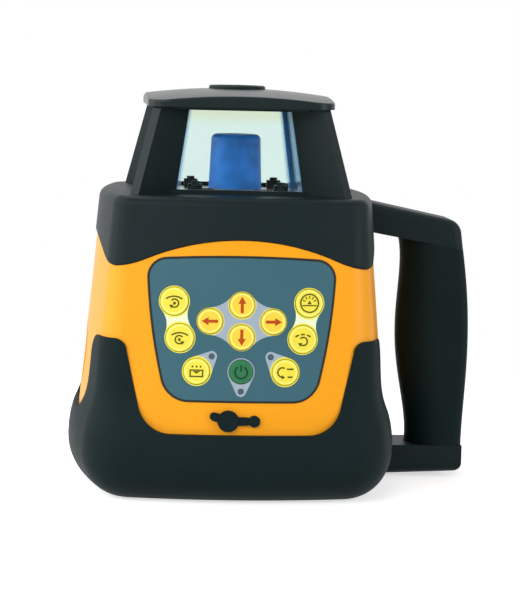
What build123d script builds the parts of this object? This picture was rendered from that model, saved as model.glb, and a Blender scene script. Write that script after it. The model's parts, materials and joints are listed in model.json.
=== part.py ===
from build123d import *
import os
from math import asin, cos, radians, sin, sqrt, tan

# Rotary laser transmitter, in millimetres.
# +Z is up along the rotor axis, the keypad faces -Y and the handle is on +X.
# The origin is the mouth of the tripod thread, on the plane that the unit rests on.

# Case: a bowed square that leans inwards
case_half = 82.0           # half width of the case walls, carried down to z = 0
case_taper = 5.17          # lean of the case walls, degrees
bow_radius = 260.0         # plan radius of the bowed sides at z = 0
corner_radius = 24.0       # plan radius of the corners at z = 0
smallest_corner = 4.0
wall = 3.0                 # body shell wall
seam = 0.2                 # gap between two mouldings that meet
shell_bottom = 18.0
shell_top = 131.0
rim_wall = 5.0             # thicker shell rim that the shoulder cover laps over
rim_height = 24.0

# Shoulder cover: a skirt with an arched lower edge and a flat roof
skirt_wall = 2.4
skirt_proud = 1.0          # the cover stands out from the shell by this much
skirt_edge = 0.9           # rounds the lower edge of the cover
roof_top = 151.0
roof_thickness = 3.2
roof_round = 4.5
arch_half = case_half - 26.0 # half span of the arch on each side
arch_foot = shell_top - 15.0
arch_crown = shell_top - 0.7     # front and back
arch_crown_side = shell_top - 1.8
arch_blend = 50.0                # rounds the arch into its foot

# Base: plate, rubber bumper with four corner horns
bulge_half = case_half + 1.7
bottom_round = 23.0
swell_half = case_half + 0.3
swell_z = 36.0
flank_half = case_half - 3.0
flank_z = 47.0
horn_half = case_half - 6.3
horn_top = 81.0
u_half_low = case_half - 35.0 # bumper cut-outs that bare the case on each side
u_half_high = case_half - 26.0
u_side_half_low = case_half - 47.0
u_side_half_high = case_half - 41.0
u_flare = 6.0              # rounds the top of a horn towards the front and back
u_side_flare = 12.0
u_corner_round = 16.0
u_bottom_front = 35.4
u_bottom_side = 40.0
base_half = case_half - 22.5
base_floor = 5.0
base_rim = 3.0
flange_thickness = 3.0
tripod_bore_radius = 6.75  # tapping size of a 5/8-11 thread
tripod_thread_length = 16.0
insert_radius = 12.0
insert_flange_radius = 17.0
insert_flange = 2.0
boss_radius = 20.0
boss_top = 20.0

# Corner columns that take the base and chassis screws
column_at = case_half - 36.0
column_radius = 6.0
rib_thickness = 4.0
screw_radius = 2.0
screw_head_radius = 3.5
screw_head_height = 2.4
screw_clearance = 0.2
screw_recess = 3.0
column_thread = 14.0
high_shank = 16.0
low_shank = 40.0

# Lantern head
glass_foot_half = 36.0
glass_lean = 8.5
pane_thickness = 2.5
glass_top = roof_top + 42.0
frame_half = glass_foot_half + 10.0
sill_half = glass_foot_half + 3.0
sill_corner = 4.0
sill_height = 2.0          # curb round the foot of the glass
deck_half = glass_foot_half - 2.2
deck_thickness = 1.5
deck_bore = 20.0
deck_ledge = 4.0
clamp_x = deck_half - 12.0 # clamps that hold the panes down on the deck
clamp_y = deck_half - 10.8
clamp_width = 7.0
clamp_depth = 6.0
clamp_height = 4.2
clamp_round = 0.8
clamp_screw_radius = 2.0
clamp_screw_height = 1.4
fin_thickness = 5.5
fin_foot_half = glass_foot_half + 19.3 # half width over the fins at the roof
fin_head_half = glass_foot_half + 8.4 # half width over the fins at the cap
fin_overlap = 6.0
ring_half = glass_foot_half + 4.0
ring_inner_half = glass_foot_half - 12.0
cap_bottom = glass_top + 1.5
cap_half = fin_head_half + 2.6
cap_corner = 11.0
cap_top = cap_bottom + 9.1
cap_dome_radius = 330.0
cap_edge_round = 1.2
bezel_radius = 14.5
bezel_bottom = cap_bottom + 5.5
bezel_top = bezel_bottom + 5.0
bezel_bore = 8.5
top_glass_radius = 10.5
top_glass_thickness = 2.0

# Handle, set towards the rear: a sloping arm, a flat foot and a round-nosed grip between them
handle_y = 28.0
handle_depth = 35.0
handle_round = 5.0
handle_corner = 8.0
arm_root_high = case_half - 22.0
arm_root_low = case_half - 16.0
arm_top_end = (case_half + 38.6, roof_top - 15.3)
arm_root_top = roof_top - 3.0
arm_under_root = shell_top + 1.0
arm_under_end = (case_half + 40.6, shell_top - 10.0)
foot_bottom = 3.0          # at the grip
foot_root_bottom = 0.6     # at the case
foot_thickness = 14.0
foot_end = case_half + 42.6
grip_nose = 19.5           # depth of the rounded finger side
grip_skin = 2.2
# grip sections: z, finger side x, palm side x
grip_rows = (
    (foot_bottom + foot_thickness, case_half + 13.8, case_half + 42.6),
    (45.0, case_half + 11.0, case_half + 43.8),
    (78.0, case_half + 7.2, case_half + 44.6),
    (shell_top - 21.0, case_half + 8.8, case_half + 42.2),
    (shell_top, case_half + 6.4, case_half + 39.0),
)
handle_screw_spread = 9.0
handle_screw_high = roof_top - 13.5
handle_screw_low = 11.0

# Keypad on the front wall
pad_depth = 1.2            # recess in the shell
pad_proud = 0.3
pad_crown = 123.0          # top of the panel on its middle line
pad_top = 121.0
pad_middle = 95.0
pad_bottom = 51.0
pad_half_top = 47.0
pad_half_middle = 45.2
pad_half_bottom = 36.6
pad_round_top = 10.0
pad_round_bottom = 14.0
board_thickness = 1.6
membrane_half = 41.0
membrane_low = 55.0
membrane_high = 106.0
key_gap = 0.25
key_round = 0.5
key_proud = 0.9            # key face above the case wall
key_skirt = 0.4            # key rim below the case wall
key_stem_radius = 4.0
key_stem_end = 2.3
lamp_radius = 1.3
lamp_proud = 0.5
# name: x, z, radius
keys = {
    "key_up": (0.0, 99.0, 6.2),
    "key_down": (0.0, 83.2, 6.2),
    "key_left": (-15.6, 90.9, 6.2),
    "key_right": (15.6, 90.9, 6.2),
    "key_scan_left": (-33.2, 100.2, 6.9),
    "key_scan_right": (-30.2, 82.5, 6.9),
    "key_scan_angle": (33.2, 100.2, 6.9),
    "key_spin_speed": (30.2, 82.5, 6.9),
    "key_tilt_alarm": (-21.8, 66.3, 6.4),
    "key_auto_manual": (21.8, 66.3, 6.4),
    "key_power": (0.0, 66.4, 5.9),
}
lamps = ((-14.5, 73.75), (14.5, 73.75), (0.0, 56.8))

# Charging socket and its rubber cap
jack_x = -5.9
jack_z = 42.2
jack_radius = 5.0
jack_bore = 3.2
jack_pin = 1.05
jack_depth = 14.0
jack_bore_depth = 9.0
cap_disc_radius = 5.3
cap_disc = 1.8
plug_radius = 2.6
plug_tip = 2.3
plug_depth = 2.0
tab_reach = 7.0
tab_rise = 2.2
tab_radius = 2.1
strap_half = 2.1
strap_thickness = 1.2
flex_at = 9.0              # the strap bends here, measured from the plug
anchor_reach = 12.8        # from the plug to the anchor
anchor_radius = 2.9
anchor_height = 2.2
anchor_stem_radius = 1.6
cap_lift = 0.3             # rubber stands off the case by this much

# Battery bay in the back wall
bay_half = 29.0
bay_low = 41.0
bay_high = 93.0
land_depth = 2.4           # flat on the bowed wall that the door lies in
land_half = 38.0
land_margin = 2.0
land_backing = 7.0
door_lip = 2.6
door_head = 10.0           # door above the opening, where its screw is
door_thickness = 2.5
door_gap = 0.3
door_corner = 4.0
trunnion_radius = 0.9
trunnion_length = 1.4
trunnion_fit = 0.08
coin_radius = 5.0
coin_height = 1.4
coin_stem_radius = 2.0
coin_room = 0.7            # room for the stem as the door swings
coin_slot_depth = 0.8
coin_slot = 1.2
coin_thread = 5.0
cell_fit = 0.2
cell_radius = 7.2
cell_length = 50.0
cell_count = 4
box_wall = 1.5

# Side mount for use lying down
side_z = 66.0
side_face = case_half - 8.0 # distance of the insert face from the rotor axis

# Levelling gimbal
gimbal_z = roof_top - 17.0
chassis_top = gimbal_z - 13.0
chassis_thickness = 4.0
chassis_half = column_at + 12.0
chassis_corner = 8.0
chassis_bore = 19.0
ring_wall = 6.0
ring_height = 8.0
pin_radius = 2.0
pin_fit = 0.05
pin_gap = 2.0              # ring to post, and ear to ring
post_width = 6.0
post_breadth = 10.0
lead_reach = 27.6          # rotor axis to each lead screw
ball_offset = 7.5          # lead screw to the ball of its level arm
ball_radius = 2.5
nut_clearance = 2.4        # outer level nut to ring
ring_radius_in = lead_reach + ball_offset + ball_radius + nut_clearance
ring_radius_out = ring_radius_in + ring_wall
arm_radius = 1.6
slot_gap = 0.25
lead_radius = 2.0
lead_fit = 0.08
lead_top = gimbal_z + 10.0
lead_foot = 3.2
nut_height = 9.0
nut_width = 9.0
nut_back = 4.5
motor_radius = 8.0
motor_length = 20.0

# Laser barrel and rotor
barrel_radius = 11.5
barrel_bottom = gimbal_z - 64.0
step_z = gimbal_z - 20.0   # the laser module stops here
neck_z = gimbal_z - 16.0   # the bearing housing starts here
housing_radius = 15.0
housing_floor = gimbal_z - 14.0
barrel_top = gimbal_z + 5.0
module_radius = 9.0
module_bottom = barrel_bottom + 4.0
module_fit = 0.05
beam_radius = 5.0
ear_width = 10.0
ear_gap = 4.0              # end of an ear to the ring
ear_reach = ring_radius_in - ear_gap
bracket_height = 3.0
bracket_z = gimbal_z - 2.0
vial_radius = 3.0
vial_length = 20.0
vial_plate = 4.0
bearing_radius = 12.0
bearing_height = 5.0
bearing_low = gimbal_z - 12.0
bearing_high = gimbal_z - 2.0
hub_radius = 8.0
hub_fit = 0.05
pulley_radius = 13.0
pulley_bottom = gimbal_z + 6.0
pulley_height = 4.0
belt_thickness = 1.0
belt_height = 2.6
belt_fit = 0.1
drive_x = -24.0            # spin motor axis
drive_radius = 4.0
spin_motor_radius = 7.5
spin_motor_length = 22.0
spin_shaft_radius = 1.0
spin_shaft_depth = 6.0
sway = 3.0                 # room for the barrel to tilt
rotor_bottom = roof_top + 1.0
rotor_top = rotor_bottom + 28.0
rotor_radius = 13.65
rotor_head_radius = 12.6
rotor_round = 2.8
rotor_cavity = 10.4
rotor_floor = 2.0
rotor_roof = 3.0
aperture_radius = 4.0
prism_face = 11.0
prism_shift = 5.0
prism_depth = 11.0
mirror_slant = 22.5        # each mirror face leans by half of the angle between them
mirror_share = 0.65        # mirror face length over entry face length

# Main board
board_y = -50.0
board_half = 34.0
board_low = 12.0
board_high = 96.0
guide_width = 3.0

os.makedirs("parts", exist_ok=True)


def half_at(z):
    """Half width of the case at a height."""
    return case_half - z * tan(radians(case_taper))


def bowed_square(half):
    """Outline parallel to the case, so all such outlines share their arc centres."""
    inset = case_half - half
    bow = bow_radius - inset
    reach = bow - half
    corner = (sqrt(2 * bow**2 - reach**2) - reach) / 2
    corners = [(corner, -corner), (corner, corner), (-corner, corner), (-corner, -corner)]
    middles = [(half, 0), (0, half), (-half, 0), (0, -half)]
    with BuildSketch(mode=Mode.PRIVATE) as outline:
        with BuildLine():
            for start, middle, end in zip(corners, middles, corners[1:] + corners[:1]):
                ThreePointArc(start, middle, end)
        make_face()
        fillet(outline.vertices(), max(corner_radius - inset, smallest_corner))
    return outline.sketch


def side_reach(across, half):
    """Distance of a bowed side from the rotor axis, at a place along that side."""
    bow = bow_radius - case_half + half
    return sqrt(bow**2 - across**2) - bow_radius + case_half


def case_block(low, high, proud):
    """Solid that leans with the case walls and stands proud of them by a given amount."""
    with BuildPart(mode=Mode.PRIVATE) as block:
        with BuildSketch(Plane.XY.offset(low)):
            add(bowed_square(half_at(low) + proud))
        extrude(amount=high - low, taper=case_taper)
    return block.part


def wall_plane(x, z, side=-1):
    """Plane on the front (side -1) or back (side 1) wall that faces out along its normal."""
    turn = asin(x / (bow_radius - case_half + half_at(z)))
    lean = radians(case_taper)
    along = (-side * cos(turn), sin(turn), 0)
    normal = (cos(lean) * sin(turn), side * cos(lean) * cos(turn), sin(lean))
    return Plane(origin=(x, side * side_reach(x, half_at(z)), z), x_dir=along, z_dir=normal)


def rod(seats, radius, length):
    """Stand a round rod on each seat plane, along its normal."""
    with Locations(*seats):
        Cylinder(radius, length, align=(Align.CENTER, Align.CENTER, Align.MIN))


def drill(seats, radius, depth):
    """Cut a round hole from each seat plane, along its normal."""
    with Locations(*seats):
        Cylinder(radius, depth, align=(Align.CENTER, Align.CENTER, Align.MIN), mode=Mode.SUBTRACT)


def save(piece, name):
    """Label a finished piece and write it."""
    piece.part.label = name
    export_step(piece.part, f"parts/{name}.step")


# Places that several pieces share
far = 100.0
roof_bottom = roof_top - roof_thickness
chassis_bottom = chassis_top - chassis_thickness
flange_top = shell_bottom + flange_thickness
insert_length = tripod_thread_length + insert_flange
upright = (Align.CENTER, Align.CENTER, Align.MIN)

# Seats of the case screws: base, chassis, handle top and handle foot
column_spots = [(x, y) for x in (-column_at, column_at) for y in (-column_at, column_at)]
handle_rows = [handle_y - handle_screw_spread, handle_y + handle_screw_spread]
head_edge = handle_rows[1] + screw_head_radius
high_seat = side_reach(head_edge, half_at(handle_screw_high + screw_head_radius) - skirt_wall)
low_seat = side_reach(head_edge, base_half - base_rim)
base_seats = [Plane((x, y, screw_recess), z_dir=(0, 0, 1)) for x, y in column_spots]
chassis_seats = [Plane((x, y, chassis_top), z_dir=(0, 0, -1)) for x, y in column_spots]
high_seats = [Plane((high_seat, y, handle_screw_high), z_dir=(1, 0, 0)) for y in handle_rows]
low_seats = [Plane((low_seat, y, handle_screw_low), z_dir=(1, 0, 0)) for y in handle_rows]
base_shank = flange_top + column_thread - screw_recess
chassis_shank = chassis_thickness + column_thread
hole_radius = screw_radius + screw_clearance

with BuildPart() as case_screws:
    screw_groups = (
        (base_seats, base_shank),
        (chassis_seats, chassis_shank),
        (high_seats, high_shank),
        (low_seats, low_shank),
    )
    for seats, shank in screw_groups:
        rod(seats, screw_radius, shank)
        rod([seat.offset(-screw_head_height) for seat in seats], screw_head_radius, screw_head_height)
save(case_screws, "case_screws")

# Base plate: a tray with a tripod boss, four screw bosses and two guides for the main board
with BuildPart() as base_plate:
    with BuildSketch():
        add(bowed_square(base_half))
    extrude(amount=shell_bottom)
    with BuildSketch(Plane.XY.offset(shell_bottom)):
        add(bowed_square(half_at(flange_top) - wall - seam))
    extrude(amount=flange_thickness)
    with BuildSketch(Plane.XY.offset(base_floor)):
        add(bowed_square(base_half - base_rim))
    extrude(amount=flange_top - base_floor, mode=Mode.SUBTRACT)
    rod([Plane.XY], boss_radius, boss_top)
    with BuildSketch():
        with Locations(*column_spots):
            Circle(column_radius)
        add(bowed_square(base_half), mode=Mode.INTERSECT)
    extrude(amount=flange_top)
    with Locations((-board_half, board_y, base_floor), (board_half, board_y, base_floor)):
        Box(2 * guide_width, 2 * guide_width, flange_top - base_floor, align=upright)
    drill([Plane.XY], insert_flange_radius + seam, insert_flange)
    drill([Plane.XY], insert_radius + seam, insert_length)
    drill([Plane((x, y, 0)) for x, y in column_spots], screw_head_radius + seam, screw_recess)
    drill(base_seats, hole_radius, base_shank)
    drill(low_seats, hole_radius, 2 * base_rim)
    with Locations((0, board_y, board_low)):
        Box(2 * (board_half + seam), board_thickness + seam, far, align=upright, mode=Mode.SUBTRACT)
save(base_plate, "base_plate")

with BuildPart() as main_board:
    with Locations((0, board_y, board_low)):
        Box(2 * board_half, board_thickness, board_high - board_low, align=upright)
save(main_board, "main_board")

with BuildPart() as tripod_insert:
    rod([Plane.XY], insert_flange_radius, insert_flange)
    rod([Plane.XY], insert_radius, insert_length)
    drill([Plane.XY], tripod_bore_radius, tripod_thread_length)
save(tripod_insert, "tripod_insert")


def cut_out(bottom, half_low, half_high, flare):
    """Wide U that a side of the bumper leaves open, drawn upright."""
    flare_foot = horn_top - flare
    flare_half = half_high + flare
    with BuildSketch(mode=Mode.PRIVATE) as profile:
        with BuildLine() as edge:
            Polyline((0, bottom), (half_low, bottom), (half_high, flare_foot))
            RadiusArc((half_high, flare_foot), (flare_half, horn_top), flare)
            Polyline((flare_half, horn_top), (flare_half, far), (0, far))
            mirror(edge.line, about=Plane.YZ)
        make_face()
        low_corners = profile.vertices().filter_by(lambda v: abs(v.Y - bottom) < 0.01 and abs(v.X) > 1)
        fillet(low_corners, u_corner_round)
    return profile.sketch


# Bumper: one rubber section swept round the case, with a U cut out of each side
inner_half = base_half + seam
with BuildPart() as bumper_form:
    with BuildSketch(Plane.XZ):
        with BuildLine():
            Line((inner_half, 0), (bulge_half - bottom_round, 0))
            RadiusArc((bulge_half - bottom_round, 0), (bulge_half, bottom_round), -bottom_round)
            flank = [(swell_half, swell_z), (flank_half, flank_z), (horn_half, horn_top)]
            Spline((bulge_half, bottom_round), *flank, tangents=[(0, 1), (-tan(radians(case_taper)), 1)])
            Polyline((horn_half, horn_top), (inner_half, horn_top), (inner_half, 0))
        make_face()
    sweep(path=bowed_square(bulge_half).wire())

with BuildPart() as base_bumper:
    add(bumper_form.part)
    add(case_block(shell_bottom, far, seam), mode=Mode.SUBTRACT)
    with BuildSketch(Plane.XZ):
        add(cut_out(u_bottom_front, u_half_low, u_half_high, u_flare))
    extrude(amount=far, both=True, mode=Mode.SUBTRACT)
    with BuildSketch(Plane.YZ):
        add(cut_out(u_bottom_side, u_side_half_low, u_side_half_high, u_side_flare))
    extrude(amount=far, both=True, mode=Mode.SUBTRACT)
    drill(low_seats, hole_radius, low_shank)
save(base_bumper, "base_bumper")


def arch_profile(crown, reach):
    """Everything above the arched edge where the shoulder cover meets the shell."""
    with BuildSketch(mode=Mode.PRIVATE) as profile:
        with BuildLine():
            ThreePointArc((-arch_half, arch_foot), (0, crown), (arch_half, arch_foot))
            Polyline((arch_half, arch_foot), (reach, arch_foot), (reach, 2 * reach), (-reach, 2 * reach),
                     (-reach, arch_foot), (-arch_half, arch_foot))
        make_face()
        fillet(profile.vertices().filter_by(lambda v: abs(v.X) < reach - 1), arch_blend)
    return profile.sketch


with BuildPart() as above_arch:
    with BuildSketch(Plane.XZ):
        add(arch_profile(arch_crown, far))
    extrude(amount=far, both=True)
    with BuildSketch(Plane.YZ.offset(-2 * far)):
        add(arch_profile(arch_crown_side, 2 * far))
    extrude(amount=4 * far, mode=Mode.INTERSECT)

# Room that the shoulder skirt takes from the shell
lap_low = arch_foot - wall
with BuildPart() as skirt_room:
    add(case_block(lap_low, roof_top, wall))
    add(case_block(lap_low, roof_top, -skirt_wall - seam), mode=Mode.SUBTRACT)
    add(above_arch.part, mode=Mode.INTERSECT)


def pad_profile(shrink):
    """Outline of the keypad panel, drawn upright."""
    with BuildSketch(mode=Mode.PRIVATE) as profile:
        with BuildLine() as edge:
            foot = (pad_half_bottom, pad_bottom)
            ThreePointArc((pad_half_top, pad_top), (pad_half_middle, pad_middle), foot)
            Line(foot, (-pad_half_bottom, pad_bottom))
            mirror(edge.edges()[0], about=Plane.YZ)
            ThreePointArc((-pad_half_top, pad_top), (0, pad_crown), (pad_half_top, pad_top))
        make_face()
        fillet(profile.vertices().group_by(Axis.Y)[-1], pad_round_top)
        fillet(profile.vertices().group_by(Axis.Y)[0], pad_round_bottom)
        if shrink:
            offset(amount=-shrink, kind=Kind.INTERSECTION)
    return profile.sketch


# Battery door frame of reference: a flat land on the back wall
bay_height = bay_high - bay_low
land = wall_plane(0, (bay_low + bay_high) / 2, side=1).offset(-land_depth)
door_bottom = -bay_height / 2 - door_lip
door_top = bay_height / 2 + door_head
door_half = bay_half + door_lip
hinge_up = door_bottom + door_thickness / 2
door_section = Plane(origin=land.origin, x_dir=land.y_dir, z_dir=land.x_dir)
coin_up = (bay_height / 2 + door_top) / 2
coin_seat = Plane(origin=land.from_local_coords((0, coin_up, 0)), x_dir=land.x_dir, z_dir=land.z_dir)
hinge_end = door_half + door_gap + trunnion_length
land_low = door_bottom - land_margin
land_high = door_top + land_margin

key_planes = {name: wall_plane(x, z) for name, (x, z, radius) in keys.items()}
lamp_planes = [wall_plane(x, z) for x, z in lamps]
jack_plane = wall_plane(jack_x, jack_z)
anchor_plane = wall_plane(jack_x + anchor_reach, jack_z)
side_seat = Plane((-side_face, 0, side_z), z_dir=(1, 0, 0))

# Bosses inside the shell: corner columns with ribs to the walls, and the side mount
with BuildPart() as bosses:
    with Locations((0, 0, flange_top)):
        with PolarLocations(column_at * sqrt(2), 4, start_angle=45):
            Box(far, rib_thickness, chassis_bottom - flange_top, align=(Align.MIN, Align.CENTER, Align.MIN))
    rod([Plane((x, y, flange_top)) for x, y in column_spots], column_radius, chassis_bottom - flange_top)
    rod([side_seat.offset(-2 * wall)], boss_radius, 2 * wall + insert_length + insert_flange)
    add(case_block(shell_bottom, chassis_bottom, -skirt_wall - seam), mode=Mode.INTERSECT)

# Recess for the keypad panel
with BuildPart() as pad_room:
    add(case_block(shell_bottom, shell_top, wall))
    add(case_block(shell_bottom, shell_top, -pad_depth), mode=Mode.SUBTRACT)
    with BuildSketch(Plane.XZ):
        add(pad_profile(0))
    extrude(amount=far, mode=Mode.INTERSECT)

# Body shell: tapered walls, thicker rim, bosses, and everything that opens through it
with BuildPart() as body_shell:
    add(case_block(shell_bottom, shell_top, 0))
    add(case_block(shell_bottom, shell_top - rim_height, -wall), mode=Mode.SUBTRACT)
    add(case_block(shell_top - rim_height, shell_top, -rim_wall), mode=Mode.SUBTRACT)
    add(skirt_room.part, mode=Mode.SUBTRACT)
    add(bosses.part)
    drill(base_seats, hole_radius, base_shank)
    drill(chassis_seats, hole_radius, chassis_shank)
    drill([side_seat.offset(-2 * wall)], insert_flange_radius + seam, 2 * wall + insert_flange)
    drill([side_seat], insert_radius + seam, insert_length)
    # battery land, opening and door recess
    with BuildSketch(land):
        with Locations((0, (land_low + land_high) / 2)):
            Rectangle(2 * door_half + 2 * land_margin, land_high - land_low)
    extrude(amount=-land_backing)
    with BuildSketch(land):
        with Locations((0, (land_low + land_high) / 2)):
            Rectangle(2 * land_half, land_high - land_low)
    extrude(amount=2 * wall, mode=Mode.SUBTRACT)
    with BuildSketch(land):
        Rectangle(2 * bay_half, bay_height)
    extrude(amount=-2 * land_backing, mode=Mode.SUBTRACT)
    with BuildSketch(land) as door_room:
        with Locations((0, (door_bottom + door_top) / 2)):
            Rectangle(2 * (door_half + door_gap), door_top - door_bottom + 2 * door_gap)
        fillet(door_room.vertices().group_by(Axis.Y)[-1], door_corner + door_gap)
    extrude(amount=-door_thickness - door_gap / 2, mode=Mode.SUBTRACT)
    with BuildSketch(door_section.offset(-hinge_end)):
        with Locations((hinge_up, -door_thickness / 2)):
            Circle(trunnion_radius + trunnion_fit)
    extrude(amount=2 * hinge_end, mode=Mode.SUBTRACT)
    drill([coin_seat.offset(-door_thickness - coin_thread - seam)], coin_stem_radius + coin_room, far)
    # keypad recess, holes for key stems, lamps, charging socket and strap anchor
    add(pad_room.part, mode=Mode.SUBTRACT)
    drill([plane.offset(-2 * wall) for plane in key_planes.values()], key_stem_radius + key_gap, far)
    drill([plane.offset(-2 * wall) for plane in lamp_planes], lamp_radius + seam, far)
    drill([jack_plane.offset(-2 * wall)], jack_radius + seam, far)
    drill([anchor_plane.offset(-2 * wall)], anchor_stem_radius + seam, far)
save(body_shell, "body_shell")


def is_outside(rim):
    """Whether an edge runs along the outside of the case and not across its inside."""
    middle = rim.position_at(0.5)
    return max(abs(middle.X), abs(middle.Y)) > arch_half


# Shoulder cover: arched skirt over the shell rim, with a roof that carries the lantern
with BuildPart() as shoulder_cover:
    add(case_block(lap_low, roof_top, skirt_proud))
    fillet(shoulder_cover.faces().sort_by(Axis.Z)[-1].edges(), roof_round)
    add(above_arch.part.moved(Location((0, 0, seam))), mode=Mode.INTERSECT)
    low_rims = shoulder_cover.edges().filter_by(lambda rim: rim.center().Z < shell_top)
    fillet(low_rims.filter_by(is_outside), skirt_edge)
    add(case_block(lap_low, roof_bottom, -skirt_wall), mode=Mode.SUBTRACT)
    with BuildSketch(Plane.XY.offset(roof_bottom)):
        RectangleRounded(2 * (frame_half + seam), 2 * (frame_half + seam), cap_corner)
    extrude(amount=roof_thickness, mode=Mode.SUBTRACT)
    drill(high_seats, hole_radius, high_shank)
save(shoulder_cover, "shoulder_cover")


def glass_block(inset):
    """Solid pyramid with the slope of the lantern glass, set in from its outer faces."""
    with BuildPart(mode=Mode.PRIVATE) as block:
        with BuildSketch(Plane.XY.offset(roof_top)):
            Rectangle(2 * (glass_foot_half - inset), 2 * (glass_foot_half - inset))
        extrude(amount=glass_top - roof_top, taper=glass_lean)
    return block.part


# Lantern frame: foot frame let into the roof, sill, four diagonal fins and a head ring
fin_half = fin_thickness / 2
fin_drop = fin_half / sqrt(2)
fin_foot = (fin_foot_half - fin_drop) * sqrt(2)
fin_head = (fin_head_half - fin_drop) * sqrt(2)
glass_head_half = glass_foot_half - (glass_top - roof_top) * tan(radians(glass_lean))
deck_bottom = roof_top - deck_thickness
with BuildPart() as lantern_frame:
    with BuildSketch(Plane.XY.offset(roof_bottom)):
        RectangleRounded(2 * frame_half, 2 * frame_half, cap_corner)
    extrude(amount=roof_thickness)
    for turn in (45, 135, 225, 315):
        with BuildSketch(Plane.XZ.rotated((0, 0, turn))):
            Polygon(
                (glass_foot_half * sqrt(2) - fin_overlap, roof_top),
                (fin_foot, roof_top),
                (fin_head, cap_bottom),
                (glass_head_half * sqrt(2) - fin_overlap, cap_bottom),
                align=None,
            )
        extrude(amount=fin_half, both=True)
    with BuildSketch(Plane.XY.offset(roof_top)):
        RectangleRounded(2 * sill_half, 2 * sill_half, sill_corner)
    extrude(amount=sill_height)
    add(glass_block(0), mode=Mode.SUBTRACT)
    with BuildSketch(Plane.XY.offset(glass_top)):
        RectangleRounded(2 * ring_half, 2 * ring_half, cap_corner)
    extrude(amount=cap_bottom - glass_top)
    with BuildSketch(Plane.XY.offset(glass_top)):
        Rectangle(2 * ring_inner_half, 2 * ring_inner_half)
    extrude(amount=cap_bottom - glass_top, mode=Mode.SUBTRACT)
    with BuildSketch(Plane.XY.offset(roof_bottom)):
        Rectangle(2 * (deck_half - deck_ledge), 2 * (deck_half - deck_ledge))
    extrude(amount=roof_thickness, mode=Mode.SUBTRACT)
    with BuildSketch(Plane.XY.offset(deck_bottom)):
        Rectangle(2 * (deck_half + seam), 2 * (deck_half + seam))
    extrude(amount=deck_thickness, mode=Mode.SUBTRACT)
save(lantern_frame, "lantern_frame")

with BuildPart() as deck_plate:
    with BuildSketch(Plane.XY.offset(deck_bottom)):
        Rectangle(2 * deck_half, 2 * deck_half)
        Circle(deck_bore, mode=Mode.SUBTRACT)
    extrude(amount=deck_thickness)
save(deck_plate, "deck_plate")

with BuildPart() as deck_clamps:
    clamp_spots = [(x, y) for x in (-clamp_x, clamp_x) for y in (-clamp_y, clamp_y)]
    with Locations(*[(x, y, roof_top) for x, y in clamp_spots]):
        Box(clamp_width, clamp_depth, clamp_height, align=upright)
    fillet(deck_clamps.edges().filter_by(Axis.Z), clamp_round)
    clamp_tops = [Plane((x, y, roof_top + clamp_height)) for x, y in clamp_spots]
    rod(clamp_tops, clamp_screw_radius, clamp_screw_height)
save(deck_clamps, "deck_clamps")

# Four mitred panes, one for each side of the lantern
pane_turns = {"front": 0, "right": 90, "back": 180, "left": 270}
for side, turn in pane_turns.items():
    with BuildPart() as pane:
        add(glass_block(0))
        add(glass_block(pane_thickness / cos(radians(glass_lean))), mode=Mode.SUBTRACT)
        with BuildSketch(Plane.XY.offset(roof_top).rotated((0, 0, turn))):
            Polygon((0, 0), (-far, -far), (far, -far), align=None)
        extrude(amount=glass_top - roof_top, mode=Mode.INTERSECT)
    save(pane, f"window_pane_{side}")

# Cap: a rounded square under a shallow dome, with the zenith beam window in the middle
with BuildPart() as top_cap:
    with BuildSketch(Plane.XY.offset(cap_bottom)):
        RectangleRounded(2 * cap_half, 2 * cap_half, cap_corner)
    extrude(amount=2 * (cap_top - cap_bottom))
    with Locations((0, 0, cap_top - cap_dome_radius)):
        Sphere(cap_dome_radius, mode=Mode.INTERSECT)
    fillet(top_cap.faces().sort_by(Axis.Z)[-1].edges(), cap_edge_round)
    drill([Plane.XY.offset(bezel_bottom)], bezel_radius + seam, far)
    drill([Plane.XY.offset(cap_bottom)], bezel_bore, far)
save(top_cap, "top_cap")

with BuildPart() as top_window_bezel:
    rod([Plane.XY.offset(bezel_bottom)], bezel_radius, bezel_top - bezel_bottom)
    fillet(top_window_bezel.faces().sort_by(Axis.Z)[-1].edges(), cap_edge_round)
    drill([Plane.XY.offset(bezel_bottom)], bezel_bore, far)
    drill([Plane.XY.offset(bezel_top - 2 * top_glass_thickness)], top_glass_radius + seam, far)
save(top_window_bezel, "top_window_bezel")

with BuildPart() as top_window:
    rod([Plane.XY.offset(bezel_top - 2 * top_glass_thickness)], top_glass_radius, top_glass_thickness)
save(top_window, "top_window")


def grip_section(z, finger, palm, shrink):
    """Level slice of the grip: round towards the fingers, square with rounded corners towards the palm."""
    half = handle_depth / 2 - shrink
    front = handle_y - half
    back = handle_y + half
    nose = finger + grip_nose
    edge = palm - shrink
    with BuildSketch(Plane.XY.offset(z), mode=Mode.PRIVATE) as section:
        with BuildLine():
            EllipticalCenterArc((nose, handle_y), grip_nose - shrink, half, 90, arc_size=180)
            Polyline((nose, front), (edge, front), (edge, back), (nose, back))
        make_face()
        fillet(section.vertices().group_by(Axis.X)[-1], handle_round)
    return section.sketch


def grip_loft(shrink):
    """Grip from the foot up into the arm, made smaller all round by a given amount."""
    with BuildPart(mode=Mode.PRIVATE) as grip:
        add([grip_section(z, finger, palm, shrink) for z, finger, palm in grip_rows])
        loft()
    return grip.part


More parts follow.
